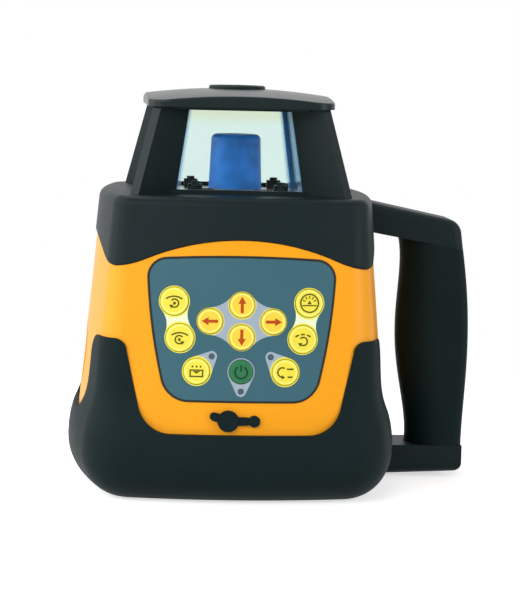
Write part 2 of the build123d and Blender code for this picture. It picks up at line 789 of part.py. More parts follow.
handle_plane = Plane.XZ.offset(-handle_y)
foot_top = foot_bottom + foot_thickness
arm_under = [(arm_root_high, arm_under_root), arm_under_end]
with BuildPart() as arm_form:
    with BuildSketch(handle_plane) as arm_profile:
        with BuildLine():
            Polyline(*arm_under, arm_top_end, (arm_root_high, arm_root_top), close=True)
        make_face()
        fillet(arm_profile.vertices().sort_by_distance((*arm_top_end, 0))[0], handle_corner)
    extrude(amount=handle_depth / 2, both=True)
    rims = arm_form.faces().filter_by(Axis.Y).edges().filter_by(lambda rim: rim.center().Z > shell_top)
    fillet(rims.filter_by(lambda rim: rim.center().X > arm_root_low), handle_round)

with BuildPart() as foot_form:
    with BuildSketch(handle_plane):
        with BuildLine():
            Polyline((arm_root_low, foot_root_bottom), (foot_end, foot_bottom), (foot_end, foot_top),
                     (arm_root_low, foot_top), close=True)
        make_face()
    extrude(amount=handle_depth / 2, both=True)
    low_rims = foot_form.faces().sort_by(Axis.Z)[0].edges()
    fillet(low_rims.filter_by(lambda rim: rim.center().X > arm_root_low + 1), handle_round)

with BuildPart() as handle_grip:
    add(grip_loft(0))
    add(grip_loft(grip_skin), mode=Mode.SUBTRACT)
    with BuildSketch(handle_plane):
        above_arm = [(2 * far, arm_under_end[1]), (2 * far, 2 * far), (arm_root_high, 2 * far)]
        Polygon(*arm_under, *above_arm, align=None)
    extrude(amount=far, both=True, mode=Mode.SUBTRACT)
save(handle_grip, "handle_grip")

with BuildPart() as handle_frame:
    add(grip_loft(grip_skin))
    add(arm_form.part)
    add(foot_form.part)
    add(case_block(lap_low, roof_top + 2 * roof_round, skirt_proud), mode=Mode.SUBTRACT)
    add(bumper_form.part, mode=Mode.SUBTRACT)
    drill(high_seats, hole_radius, high_shank)
    drill(low_seats, hole_radius, low_shank)
save(handle_frame, "handle_frame")

# Keypad: overlay in the shell recess, flexible board behind the wall, lamps and keys
with BuildPart() as keypad_overlay:
    add(case_block(shell_bottom, shell_top, pad_proud))
    add(case_block(shell_bottom, shell_top, -pad_depth), mode=Mode.SUBTRACT)
    with BuildSketch(Plane.XZ):
        add(pad_profile(seam))
    extrude(amount=far, mode=Mode.INTERSECT)
    for name, (x, z, radius) in keys.items():
        drill([key_planes[name].offset(-2 * wall)], radius + key_gap, 4 * wall)
    drill([plane.offset(-2 * wall) for plane in lamp_planes], lamp_radius + seam, 4 * wall)
save(keypad_overlay, "keypad_overlay")

with BuildPart() as keypad_board:
    add(case_block(shell_bottom, shell_top, -wall))
    add(case_block(shell_bottom, shell_top, -wall - board_thickness), mode=Mode.SUBTRACT)
    with Locations((0, -far, membrane_low)):
        Box(2 * membrane_half, 2 * far, membrane_high - membrane_low, align=upright, mode=Mode.INTERSECT)
    split(bisect_by=Plane.XZ)
save(keypad_board, "keypad_board")

with BuildPart() as status_leds:
    rod([plane.offset(seam - wall) for plane in lamp_planes], lamp_radius, wall - seam + lamp_proud)
save(status_leds, "status_leds")

for name, (x, z, radius) in keys.items():
    with BuildPart() as key:
        rod([key_planes[name].offset(-key_skirt)], radius, key_skirt + key_proud)
        outward = Axis(key_planes[name].origin, key_planes[name].z_dir)
        fillet(key.faces().sort_by(outward)[-1].edges(), key_round)
        rod([key_planes[name].offset(-key_stem_end)], key_stem_radius, key_stem_end)
    save(key, name)

# Charging socket with its centre pin
with BuildPart() as charge_jack:
    rod([jack_plane.offset(-jack_depth)], jack_radius, jack_depth)
    drill([jack_plane.offset(-jack_bore_depth)], jack_bore, jack_bore_depth)
    rod([jack_plane.offset(-jack_bore_depth)], jack_pin, jack_bore_depth - 2 * plug_depth)
save(charge_jack, "charge_jack")

# Rubber cap: disc with a pull tab, a tapered plug and a strap to the anchor
with BuildPart() as dust_cap:
    with BuildSketch(jack_plane.offset(cap_lift)):
        Circle(cap_disc_radius)
    extrude(amount=cap_disc)
    with BuildSketch(jack_plane.offset(cap_lift)):
        with BuildLine():
            CenterArc((0, 0), tab_radius, 0, 360)
            CenterArc((-tab_reach, tab_rise), tab_radius, 0, 360)
        make_hull()
    extrude(amount=strap_thickness)
    with BuildSketch(jack_plane.offset(cap_lift)):
        with Locations((flex_at / 2, 0)):
            Rectangle(flex_at + strap_thickness / 2, 2 * strap_half)
    extrude(amount=strap_thickness)
    with Locations(jack_plane.offset(cap_lift - (plug_depth + cap_lift) / 2)):
        Cone(plug_tip, plug_radius, plug_depth + cap_lift)
save(dust_cap, "dust_cap")

with BuildPart() as dust_cap_anchor:
    rod([anchor_plane], anchor_radius, anchor_height)
    outward = Axis(anchor_plane.origin, anchor_plane.z_dir)
    fillet(dust_cap_anchor.faces().sort_by(outward)[-1].edges(), key_round)
    rod([anchor_plane.offset(-wall)], anchor_stem_radius, wall)
save(dust_cap_anchor, "dust_cap_anchor")

# Battery door: flat plate that turns on two trunnions at its lower edge
with BuildPart() as battery_door:
    with BuildSketch(door_section.offset(-door_half)):
        with Locations(((hinge_up + door_top) / 2, -door_thickness / 2)):
            Rectangle(door_top - hinge_up, door_thickness)
        with Locations((hinge_up, -door_thickness / 2)):
            Circle(door_thickness / 2)
    extrude(amount=2 * door_half)
    through_door = Axis(land.origin, land.z_dir)
    up_the_door = Axis(land.origin, land.y_dir)
    fillet(battery_door.edges().filter_by(through_door).group_by(up_the_door)[-1], door_corner)
    with BuildSketch(door_section.offset(-door_half - trunnion_length)):
        with Locations((hinge_up, -door_thickness / 2)):
            Circle(trunnion_radius)
    extrude(amount=2 * (door_half + trunnion_length))
    drill([coin_seat.offset(-coin_height)], coin_radius + seam, coin_height)
    drill([coin_seat.offset(-door_thickness)], coin_stem_radius + screw_clearance, door_thickness)
save(battery_door, "battery_door")

with BuildPart() as battery_door_screw:
    rod([coin_seat.offset(-coin_height)], coin_radius, coin_height)
    rod([coin_seat.offset(-door_thickness - coin_thread)], coin_stem_radius, door_thickness + coin_thread)
    with Locations(coin_seat):
        Box(2 * coin_radius, coin_slot, 2 * coin_slot_depth, mode=Mode.SUBTRACT)
save(battery_door_screw, "battery_door_screw")

# Battery box behind the land, with a row of cells standing in it
box_depth = 2 * cell_radius + 2 * cell_fit
box_mouth = land.offset(-land_backing)
with BuildPart() as battery_box:
    with BuildSketch(box_mouth):
        Rectangle(2 * (bay_half + box_wall), bay_height + 2 * box_wall)
    extrude(amount=-box_depth - box_wall)
    with BuildSketch(box_mouth):
        Rectangle(2 * bay_half, bay_height)
    extrude(amount=-box_depth, mode=Mode.SUBTRACT)
save(battery_box, "battery_box")

with BuildPart() as battery_cells:
    cell_pitch = 2 * bay_half / cell_count
    for place in range(cell_count):
        across = (place - (cell_count - 1) / 2) * cell_pitch
        foot = land.from_local_coords((across, -bay_height / 2, -land_backing - box_depth / 2))
        rod([Plane(origin=foot, z_dir=land.y_dir)], cell_radius, cell_length)
save(battery_cells, "battery_cells")

with BuildPart() as side_mount_insert:
    rod([side_seat], insert_flange_radius, insert_flange)
    rod([side_seat], insert_radius, insert_length)
    drill([side_seat], tripod_bore_radius, tripod_thread_length)
save(side_mount_insert, "side_mount_insert")

# Levelling gimbal: chassis with two posts, ring, pins, level motors, lead screws and nuts
ring_bottom = gimbal_z - ring_height / 2
post_x = ring_radius_out + pin_gap + post_width / 2
post_top = gimbal_z + post_breadth / 2
drive_plane = Plane((drive_x, 0, 0))
level_x = Plane((lead_reach, 0, 0))
level_y = Plane(origin=(lead_reach / sqrt(2), lead_reach / sqrt(2), 0), x_dir=(1, 1, 0), z_dir=(0, 0, 1))
leads = [level_x, level_y]
pin_ends = [Plane((0, 0, gimbal_z), z_dir=direction) for direction in ((1, 0, 0), (-1, 0, 0))]
ear_ends = [Plane((0, 0, gimbal_z), z_dir=direction) for direction in ((0, 1, 0), (0, -1, 0))]
with BuildPart() as chassis_frame:
    with BuildSketch(Plane.XY.offset(chassis_bottom)):
        RectangleRounded(2 * chassis_half, 2 * chassis_half, chassis_corner)
    extrude(amount=chassis_thickness)
    add(case_block(chassis_bottom - seam, shell_top, -rim_wall - seam), mode=Mode.INTERSECT)
    with Locations((-post_x, 0, chassis_bottom), (post_x, 0, chassis_bottom)):
        Box(post_width, post_breadth, post_top - chassis_bottom, align=upright)
    drill([Plane.XY.offset(chassis_bottom)], chassis_bore, chassis_thickness)
    drill([drive_plane.offset(chassis_bottom)], spin_motor_radius + sway, chassis_thickness)
    drill([lead.offset(chassis_bottom) for lead in leads], lead_radius + 2 * slot_gap, chassis_thickness)
    drill(chassis_seats, hole_radius, chassis_thickness)
    drill([end.offset(ring_radius_out) for end in pin_ends], pin_radius + pin_fit, far)
save(chassis_frame, "chassis_frame")

with BuildPart() as gimbal_pins_x:
    rod([end.offset(ring_radius_in + pin_gap / 2) for end in pin_ends], pin_radius,
        post_x + post_width / 2 - ring_radius_in - pin_gap / 2)
save(gimbal_pins_x, "gimbal_pins_x")

with BuildPart() as gimbal_pins_y:
    rod([end.offset(ear_reach - ear_width / 2) for end in ear_ends], pin_radius,
        ring_radius_out - pin_gap / 2 - ear_reach + ear_width / 2)
save(gimbal_pins_y, "gimbal_pins_y")


def level_arm(root, ball_at, turn):
    """Short arm with a ball end, in the gimbal plane, at an angle about the rotor axis."""
    start = Plane(origin=(0, 0, gimbal_z), x_dir=(0, 0, 1), z_dir=(cos(radians(turn)), sin(radians(turn)), 0))
    rod([start.offset(min(root, ball_at))], arm_radius, abs(ball_at - root))
    with Locations(start.offset(ball_at)):
        Sphere(ball_radius)


with BuildPart() as gimbal_ring:
    with BuildSketch(Plane.XY.offset(ring_bottom)):
        Circle(ring_radius_out)
        Circle(ring_radius_in, mode=Mode.SUBTRACT)
    extrude(amount=ring_height)
    inner_ends = [end.offset(ring_radius_in - pin_gap) for end in pin_ends + ear_ends]
    drill(inner_ends, pin_radius + pin_fit, 2 * ring_height)
    level_arm(ring_radius_in + arm_radius, lead_reach + ball_offset, 45)
save(gimbal_ring, "gimbal_ring")

with BuildPart() as level_motors:
    motors = [lead.offset(chassis_bottom - motor_length) for lead in leads]
    rod(motors, motor_radius, motor_length)
    drill([plane.offset(motor_length - lead_foot) for plane in motors], lead_radius + lead_fit, lead_foot)
save(level_motors, "level_motors")


def level_nut(plane, outward):
    """Nut on a lead screw, with a slot for the ball of a level arm on one side."""
    mouth = outward * (ball_offset + ball_radius)
    middle = (mouth - outward * nut_back) / 2
    with Locations(plane.offset(gimbal_z)):
        with Locations((middle, 0, 0)):
            Box(ball_offset + ball_radius + nut_back, nut_width, nut_height)
        with Locations((mouth, 0, 0)):
            slot = 2 * (ball_radius + slot_gap)
            Box(2 * slot, 2 * nut_width, slot, mode=Mode.SUBTRACT)
        Cylinder(lead_radius + lead_fit, far, mode=Mode.SUBTRACT)


with BuildPart() as level_nut_x:
    level_nut(level_x, -1)
save(level_nut_x, "level_nut_x")

with BuildPart() as level_nut_y:
    level_nut(level_y, 1)
save(level_nut_y, "level_nut_y")

screw_bottom = chassis_bottom - lead_foot + seam
with BuildPart() as lead_screw_x:
    rod([level_x.offset(screw_bottom)], lead_radius, lead_top - screw_bottom)
save(lead_screw_x, "lead_screw_x")

with BuildPart() as lead_screw_y:
    rod([level_y.offset(screw_bottom)], lead_radius, lead_top - screw_bottom)
save(lead_screw_y, "lead_screw_y")

# Laser barrel: tube for the module, bearing housing, gimbal ears, motor bracket and level arm
with BuildPart() as laser_barrel:
    rod([Plane.XY.offset(barrel_bottom)], barrel_radius, neck_z - barrel_bottom)
    rod([Plane.XY.offset(neck_z)], housing_radius, barrel_top - neck_z)
    with Locations((0, 0, gimbal_z)):
        Box(ear_width, 2 * ear_reach, ring_height)
    with Locations((drive_x / 2, 0, bracket_z)):
        Box(-drive_x + 2 * spin_motor_radius, 2 * spin_motor_radius, bracket_height, align=upright)
    level_arm(housing_radius - arm_radius, lead_reach - ball_offset, 0)
    drill([Plane.XY.offset(barrel_bottom)], module_radius + module_fit, step_z - barrel_bottom)
    drill([Plane.XY.offset(step_z)], beam_radius, housing_floor - step_z)
    drill([Plane.XY.offset(housing_floor)], bearing_radius + module_fit, far)
    drill([drive_plane.offset(bracket_z)], 2 * spin_shaft_radius, bracket_height)
    drill([end.offset(ear_reach - ear_width / 2) for end in ear_ends], pin_radius + pin_fit, far)
save(laser_barrel, "laser_barrel")

with BuildPart() as laser_module:
    rod([Plane.XY.offset(module_bottom)], module_radius, step_z - module_bottom)
    rod([Plane.XY.offset(barrel_bottom)], beam_radius, module_bottom - barrel_bottom)
save(laser_module, "laser_module")

# Two crossed vials under a plate on the barrel foot
with BuildPart() as level_sensors:
    rod([Plane.XY.offset(barrel_bottom - vial_plate)], barrel_radius, vial_plate)
    vial_z = barrel_bottom - vial_plate - vial_radius
    rod([Plane((-vial_length / 2, 0, vial_z), z_dir=(1, 0, 0))], vial_radius, vial_length)
    rod([Plane((0, -vial_length / 2, vial_z - 2 * vial_radius), z_dir=(0, 1, 0))], vial_radius, vial_length)
save(level_sensors, "level_sensors")

with BuildPart() as spin_bearings:
    for foot in (bearing_low, bearing_high):
        with BuildSketch(Plane.XY.offset(foot)):
            Circle(bearing_radius)
            Circle(hub_radius, mode=Mode.SUBTRACT)
        extrude(amount=bearing_height)
save(spin_bearings, "spin_bearings")

with BuildPart() as spin_motor:
    rod([drive_plane.offset(bracket_z - spin_motor_length)], spin_motor_radius, spin_motor_length)
    drill([drive_plane.offset(bracket_z - spin_shaft_depth)], spin_shaft_radius + hub_fit, spin_shaft_depth)
save(spin_motor, "spin_motor")

with BuildPart() as motor_pulley:
    shaft_bottom = bracket_z - spin_shaft_depth + seam
    rod([drive_plane.offset(pulley_bottom)], drive_radius, pulley_height)
    rod([drive_plane.offset(shaft_bottom)], spin_shaft_radius, pulley_bottom - shaft_bottom)
save(motor_pulley, "motor_pulley")


def belt_loop(grow):
    """Outline round both pulleys, a given distance outside their rims."""
    with BuildSketch(mode=Mode.PRIVATE) as loop:
        with BuildLine():
            CenterArc((0, 0), pulley_radius + grow, 0, 360)
            CenterArc((drive_x, 0), drive_radius + grow, 0, 360)
        make_hull()
    return loop.sketch


with BuildPart() as drive_belt:
    with BuildSketch(Plane.XY.offset(pulley_bottom + (pulley_height - belt_height) / 2)):
        add(belt_loop(belt_fit + belt_thickness))
        add(belt_loop(belt_fit), mode=Mode.SUBTRACT)
    extrude(amount=belt_height)
save(drive_belt, "drive_belt")

# Rotor: hollow hub with its pulley, blue head with a side aperture, and the prism in it
hub_bottom = housing_floor + pin_gap / 2
with BuildPart() as rotor_hub:
    rod([Plane.XY.offset(hub_bottom)], hub_radius - hub_fit, rotor_bottom - hub_bottom)
    rod([Plane.XY.offset(pulley_bottom)], pulley_radius, pulley_height)
    rod([Plane.XY.offset(rotor_bottom - rotor_floor)], rotor_cavity, rotor_floor)
    drill([Plane.XY.offset(hub_bottom)], beam_radius, far)
save(rotor_hub, "rotor_hub")

cavity_bottom = rotor_bottom + rotor_floor
with BuildPart() as rotor_head:
    with BuildSketch(Plane.XZ) as rotor_section:
        with BuildLine():
            rim = [(rotor_radius, rotor_bottom), (rotor_head_radius, rotor_top)]
            Polyline((0, rotor_bottom), *rim, (0, rotor_top), close=True)
        make_face()
        fillet(rotor_section.vertices().sort_by_distance((rotor_head_radius, rotor_top, 0))[0], rotor_round)
    revolve(axis=Axis.Z)
    drill([Plane.XY.offset(cavity_bottom)], rotor_cavity, rotor_top - rotor_roof - cavity_bottom)
    drill([Plane.XY.offset(rotor_bottom)], beam_radius, rotor_floor)
    drill([Plane.XY.offset(rotor_top - rotor_roof)], aperture_radius, rotor_roof)
    drill([Plane((0, 0, cavity_bottom + prism_face / 2), z_dir=(0, 1, 0))], aperture_radius, far)
save(rotor_head, "rotor_head")

slant = radians(mirror_slant)
mirror_length = mirror_share * prism_face
with BuildPart() as pentaprism:
    with BuildSketch(Plane.YZ):
        Polygon(
            (-prism_shift, cavity_bottom),
            (prism_face - prism_shift, cavity_bottom),
            (prism_face - prism_shift, cavity_bottom + prism_face),
            (prism_face - prism_shift - mirror_length * cos(slant),
             cavity_bottom + prism_face + mirror_length * sin(slant)),
            (-prism_shift - mirror_length * sin(slant), cavity_bottom + mirror_length * cos(slant)),
            align=None,
        )
    extrude(amount=prism_depth / 2, both=True)
save(pentaprism, "pentaprism")
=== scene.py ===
import json
from math import asin, atan2, cos, degrees, pi, radians, sin, sqrt, tan

import bmesh
import bpy
from mathutils import Matrix, Vector


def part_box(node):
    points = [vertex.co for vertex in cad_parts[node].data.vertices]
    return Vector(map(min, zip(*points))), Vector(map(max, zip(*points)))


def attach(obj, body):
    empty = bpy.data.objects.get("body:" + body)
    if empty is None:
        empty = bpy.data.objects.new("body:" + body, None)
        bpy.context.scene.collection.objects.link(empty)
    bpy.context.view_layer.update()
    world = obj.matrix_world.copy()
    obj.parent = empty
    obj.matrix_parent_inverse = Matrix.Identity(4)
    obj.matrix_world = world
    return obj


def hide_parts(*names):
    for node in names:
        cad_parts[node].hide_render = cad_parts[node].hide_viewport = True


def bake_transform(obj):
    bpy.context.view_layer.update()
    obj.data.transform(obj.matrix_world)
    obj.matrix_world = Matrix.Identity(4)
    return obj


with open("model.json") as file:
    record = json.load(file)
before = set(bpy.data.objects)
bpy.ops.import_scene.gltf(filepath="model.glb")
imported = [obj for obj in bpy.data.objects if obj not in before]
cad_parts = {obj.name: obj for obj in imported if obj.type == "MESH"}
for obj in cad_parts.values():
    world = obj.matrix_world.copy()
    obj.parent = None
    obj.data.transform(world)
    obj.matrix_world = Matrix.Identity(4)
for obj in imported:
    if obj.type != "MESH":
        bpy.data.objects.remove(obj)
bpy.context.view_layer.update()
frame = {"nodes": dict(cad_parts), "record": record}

# Rotary laser transmitter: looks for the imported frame. Blender works in metres, and sizes
# below are in millimetres unless their comment says metres.

nodes = frame["nodes"]
mm = 0.001
micron = 0.000001

# Camera at the photograph's viewing angle
photo_width = 520
photo_height = 589
view_azimuth = radians(-4.546)      # a little to the left of the keypad's normal
view_elevation = radians(5.8)
view_roll = radians(1.419)          # the picture leans clockwise
view_distance = 1.3                 # metres
view_target = Vector((14.44, 0.0, 96.94)) * mm
focal_pixels = 2501.7
sensor_width = 36.0

# Front wall of the case, as the frame has it
case_half = 82.0
case_lean = radians(5.17)
bow_radius = 260.0
panel_proud = 0.3
key_proud = 0.9

# Printed layers
ink_gap = 0.02                      # a layer lies this far above what carries it
ink_thickness = 0.03
film_step = 3.0                     # longest edge in a layer that follows the bowed wall
arc_steps = 28
disc_steps = 48
head_half = 1.05                    # arrow heads on curved strokes
head_length = 1.9
head_gap = 0.02

# Keys: x, z and radius
keys = {
    "key_up": (0.0, 99.0, 6.2),
    "key_down": (0.0, 83.2, 6.2),
    "key_left": (-15.6, 90.9, 6.2),
    "key_right": (15.6, 90.9, 6.2),
    "key_scan_left": (-33.2, 100.2, 6.9),
    "key_scan_right": (-30.2, 82.5, 6.9),
    "key_scan_angle": (33.2, 100.2, 6.9),
    "key_spin_speed": (30.2, 82.5, 6.9),
    "key_tilt_alarm": (-21.8, 66.3, 6.4),
    "key_auto_manual": (21.8, 66.3, 6.4),
    "key_power": (0.0, 66.4, 5.9),
}
arrow_keys = ("key_up", "key_left", "key_down", "key_right")
key_pairs = {"left": ("key_scan_left", "key_scan_right"), "right": ("key_scan_angle", "key_spin_speed")}

# Status lamps, by the key that each belongs to: x and z
lamps = {"key_tilt_alarm": (-14.5, 73.75), "key_auto_manual": (14.5, 73.75), "key_power": (0.0, 56.8)}


def bare(name):
    """Name of a key without its first word."""
    return name.removeprefix("key_")


# Nodes of the finishes
cloud_detail = 4.0
grain_detail = 2.0


def spread(colour, share):
    """A colour made darker and the same colour made lighter by a share."""
    dark = tuple(c * (1 - share) for c in colour)
    light = tuple(min(1.0, c * (1 + share)) for c in colour)
    return dark + (1.0,), light + (1.0,)


def noise(tree, place, scale, detail):
    """Output of a noise texture at a place."""
    made = tree.nodes.new("ShaderNodeTexNoise")
    made.inputs["Scale"].default_value = scale
    made.inputs["Detail"].default_value = detail
    tree.links.new(place, made.inputs["Vector"])
    return made.outputs["Fac"]


def surface(name, colour, roughness, variation=0.05, patch=60.0, grain=2500.0, grain_height=40,
            rough_spread=0.06, metallic=0.0, stretch=(1, 1, 1), **sockets):
    """Procedural finish in object space: cloudy colour and roughness, and a fine grain as bump, its
    height in microns."""
    made = bpy.data.materials.new(name)
    made.use_nodes = True
    tree = made.node_tree
    shader = tree.nodes["Principled BSDF"]
    shader.inputs["Metallic"].default_value = metallic
    for socket, value in sockets.items():
        shader.inputs[socket.replace("_", " ")].default_value = value
    place = tree.nodes.new("ShaderNodeTexCoord")
    mapping = tree.nodes.new("ShaderNodeMapping")
    mapping.inputs["Scale"].default_value = stretch
    tree.links.new(place.outputs["Object"], mapping.inputs["Vector"])
    cloud = noise(tree, mapping.outputs["Vector"], patch, cloud_detail)
    tint = tree.nodes.new("ShaderNodeMix")
    tint.data_type = "RGBA"
    dark, light = spread(colour, variation)
    tint.inputs["A"].default_value = dark
    tint.inputs["B"].default_value = light
    tree.links.new(cloud, tint.inputs["Factor"])
    tree.links.new(tint.outputs["Result"], shader.inputs["Base Color"])
    rough = tree.nodes.new("ShaderNodeMapRange")
    rough.inputs["To Min"].default_value = max(0.0, roughness - rough_spread)
    rough.inputs["To Max"].default_value = min(1.0, roughness + rough_spread)
    tree.links.new(cloud, rough.inputs["Value"])
    tree.links.new(rough.outputs["Result"], shader.inputs["Roughness"])
    bump = tree.nodes.new("ShaderNodeBump")
    bump.inputs["Strength"].default_value = 1.0
    bump.inputs["Distance"].default_value = grain_height * micron
    tree.links.new(noise(tree, mapping.outputs["Vector"], grain, grain_detail), bump.inputs["Height"])
    tree.links.new(bump.outputs["Normal"], shader.inputs["Normal"])
    return made


def mixed_in(made, share, colour):
    """Brings a second colour into a finish, by a share that runs over its surface from 0 to 1."""
    tree = made.node_tree
    shader = tree.nodes["Principled BSDF"]
    base = shader.inputs["Base Color"].links[0].from_socket
    second = tree.nodes.new("ShaderNodeMix")
    second.data_type = "RGBA"
    second.inputs["B"].default_value = colour + (1.0,)
    tree.links.new(share, second.inputs["Factor"])
    tree.links.new(base, second.inputs["A"])
    tree.links.new(second.outputs["Result"], shader.inputs["Base Color"])


def worked_out(tree, operation, first, second=None):
    """Output of a math node on one or two other outputs."""
    made = tree.nodes.new("ShaderNodeMath")
    made.operation = operation
    tree.links.new(first, made.inputs[0])
    if second is not None:
        tree.links.new(second, made.inputs[1])
    return made.outputs[0]


def ramp(tree, value, low, high, at_low=0.0, at_high=1.0):
    """Smooth step of a value between two of its sizes."""
    made = tree.nodes.new("ShaderNodeMapRange")
    made.interpolation_type = "SMOOTHSTEP"
    made.inputs["From Min"].default_value = low
    made.inputs["From Max"].default_value = high
    made.inputs["To Min"].default_value = at_low
    made.inputs["To Max"].default_value = at_high
    tree.links.new(value, made.inputs["Value"])
    return made.outputs["Result"]


def position(tree):
    """Outputs for x, y and z of the surface, in the object's own frame, by their letters."""
    place = tree.nodes.new("ShaderNodeTexCoord")
    parts = tree.nodes.new("ShaderNodeSeparateXYZ")
    tree.links.new(place.outputs["Object"], parts.inputs[0])
    return parts.outputs


def warm_top(made, warm_colour, start, full):
    """Glass that takes a warmer tint towards its upper edge, from one height to another."""
    tree = made.node_tree
    mixed_in(made, ramp(tree, position(tree)["Z"], start, full), warm_colour)


def painted_reflection_at_seams(made, reflected_colour, start, full, clear_share):
    """Glass that turns coloured and cloudy near the upright edges where two panes of the lantern meet; the
    blue is a painted reflection, of glass seen at a grazing angle. Nearness is the smaller of x and y as a
    share of the larger, which is 1 on the diagonals."""
    tree = made.node_tree
    at = position(tree)
    across = worked_out(tree, "ABSOLUTE", at["X"])
    along = worked_out(tree, "ABSOLUTE", at["Y"])
    least = worked_out(tree, "MINIMUM", across, along)
    most = worked_out(tree, "MAXIMUM", across, along)
    nearness = worked_out(tree, "DIVIDE", least, most)
    mixed_in(made, ramp(tree, nearness, start, full), reflected_colour)
    clear = ramp(tree, nearness, start, full, 1.0, clear_share)
    tree.links.new(clear, tree.nodes["Principled BSDF"].inputs["Transmission Weight"])


def with_painted_glow(made, glow_colour, names, halo):
    """Print that takes a second colour close round keys of one size, a painted glow of the keys on the pad.
    The halo is the distance from a key's edge up to which it is full, and the one from which there is none."""
    tree = made.node_tree
    place = tree.nodes.new("ShaderNodeTexCoord")
    flat = tree.nodes.new("ShaderNodeVectorMath")
    flat.operation = "MULTIPLY"
    flat.inputs[1].default_value = (1, 0, 1)
    tree.links.new(place.outputs["Object"], flat.inputs[0])
    nearest = None
    for name in names:
        x, z = keys[name][:2]
        reach = tree.nodes.new("ShaderNodeVectorMath")
        reach.operation = "DISTANCE"
        reach.inputs[1].default_value = (x * mm, 0, z * mm)
        tree.links.new(flat.outputs["Vector"], reach.inputs[0])
        away = reach.outputs["Value"]
        nearest = away if nearest is None else worked_out(tree, "MINIMUM", nearest, away)
    edge = keys[names[0]][2]
    near, far = halo
    share = ramp(tree, nearest, (edge + near) * mm, (edge + far) * mm, 1.0, 0.0)
    mixed_in(made, share, glow_colour)
    return made


# One finish for each material slot of the record
plain_glass = dict(variation=0.01, rough_spread=0.01, grain=40.0, grain_height=2, Transmission_Weight=1.0)
brushed = dict(metallic=1.0, stretch=(1, 1, 30), grain_height=10)
finishes = {
    "orange_plastic": surface("orange_plastic", (0.92, 0.36, 0.004), 0.36, variation=0.03, grain_height=20,
                              Specular_IOR_Level=0.25),
    "black_rubber": surface("black_rubber", (0.005, 0.013, 0.0142), 0.55, variation=0.2, grain=1800.0,
                            grain_height=80, Specular_IOR_Level=0.07),
    "black_plastic": surface("black_plastic", (0.005, 0.0125, 0.0137), 0.45, variation=0.15,
                             Specular_IOR_Level=0.12),
    "pane_glass": surface("pane_glass", (0.825, 0.93, 0.9), 0.01, IOR=1.12, **plain_glass),
    "prism_glass": surface("prism_glass", (0.92, 0.96, 0.98), 0.02, IOR=1.52, **plain_glass),
    # The rotor's strong, wide blotches of lighter and darker blue are painted highlight and shade
    "rotor_blue": surface("rotor_blue", (0.013, 0.15, 0.55), 0.38, variation=0.6, patch=150.0,
                          grain_height=10, Specular_IOR_Level=0.22),
    "panel_film": surface("panel_film", (0.04, 0.12, 0.155), 0.5, variation=0.06, grain_height=30,
                          Specular_IOR_Level=0.2),
    "key_yellow": surface("key_yellow", (0.86, 0.72, 0.045), 0.42, variation=0.03, grain_height=10),
    "key_green": surface("key_green", (0.002, 0.14, 0.045), 0.42, variation=0.06, grain_height=10),
    "lamp": surface("lamp", (0.05, 0.085, 0.12), 0.2, variation=0.1, grain_height=5),
    "brass": surface("brass", (0.72, 0.5, 0.2), 0.28, **brushed),
    "steel": surface("steel", (0.56, 0.57, 0.59), 0.3, **brushed),
    "aluminium": surface("aluminium", (0.76, 0.75, 0.76), 0.34, metallic=1.0, grain=1500.0,
                         grain_height=30),
    "circuit_board": surface("circuit_board", (0.01, 0.12, 0.05), 0.4, variation=0.12),
    "belt_rubber": surface("belt_rubber", (0.012, 0.012, 0.013), 0.7, variation=0.2),
    "cell_wrap": surface("cell_wrap", (0.05, 0.16, 0.4), 0.3, variation=0.05),
    "vial": surface("vial", (0.45, 0.65, 0.15), 0.15, variation=0.05, grain_height=5),
}

# Panes: a warmer tint along the top, and blue and cloudy at the seams, where the blue is a painted
# reflection of glass seen at a grazing angle
warm_glass = (0.82, 0.885, 0.78)
warm_start = 9.0                    # below the top of the panes
warm_full = 3.0
# painted reflection: the dark blue of the panes where they are seen at a grazing angle
reflected_blue = (0.08, 0.34, 0.75)
seam_start = 0.87
seam_full = 0.97
seam_clear = 0.45
pane_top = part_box("window_pane_front")[1][2]
warm_top(finishes["pane_glass"], warm_glass, pane_top - warm_start * mm, pane_top - warm_full * mm)
painted_reflection_at_seams(finishes["pane_glass"], reflected_blue, seam_start, seam_full, seam_clear)

# Nodes that differ from the rest of their slot: the shinier lantern, a smooth cap, a dull coin screw,
# a deck tinted pink, a painted reflection, the round top glass and the arrow keys, which are a warmer yellow
warm_yellow = surface("warm_yellow", (0.88, 0.62, 0.04), 0.42, variation=0.03, grain_height=10)
own_finish = {
    "lantern_frame": surface("lantern_plastic", (0.005, 0.0125, 0.0137), 0.36, variation=0.15,
                             Specular_IOR_Level=0.16),
    "top_cap": surface("smooth_cap", (0.004, 0.0115, 0.0125), 0.28, variation=0.12, grain_height=20,
                       rough_spread=0.05, Specular_IOR_Level=0.2),
    "battery_door_screw": surface("dull_steel", (0.3, 0.3, 0.31), 0.42, metallic=1.0, stretch=(30, 1, 1),
                                  grain_height=20),
    # pink tint of the deck: painted reflection
    "deck_plate": surface("pink_reflection_deck", (0.78, 0.66, 0.7), 0.25, metallic=1.0, stretch=(1, 30, 1),
                          grain_height=10),
    "top_window": surface("top_glass", (0.83, 0.95, 0.91), 0.01, IOR=1.3, **plain_glass),
    **{name: warm_yellow for name in arrow_keys},
}
for entry in frame["record"]["subparts"]:
    skin = nodes[entry["node"]].data.materials
    skin.clear()
    skin.append(own_finish.get(entry["node"], finishes[entry["material_slot"]]))

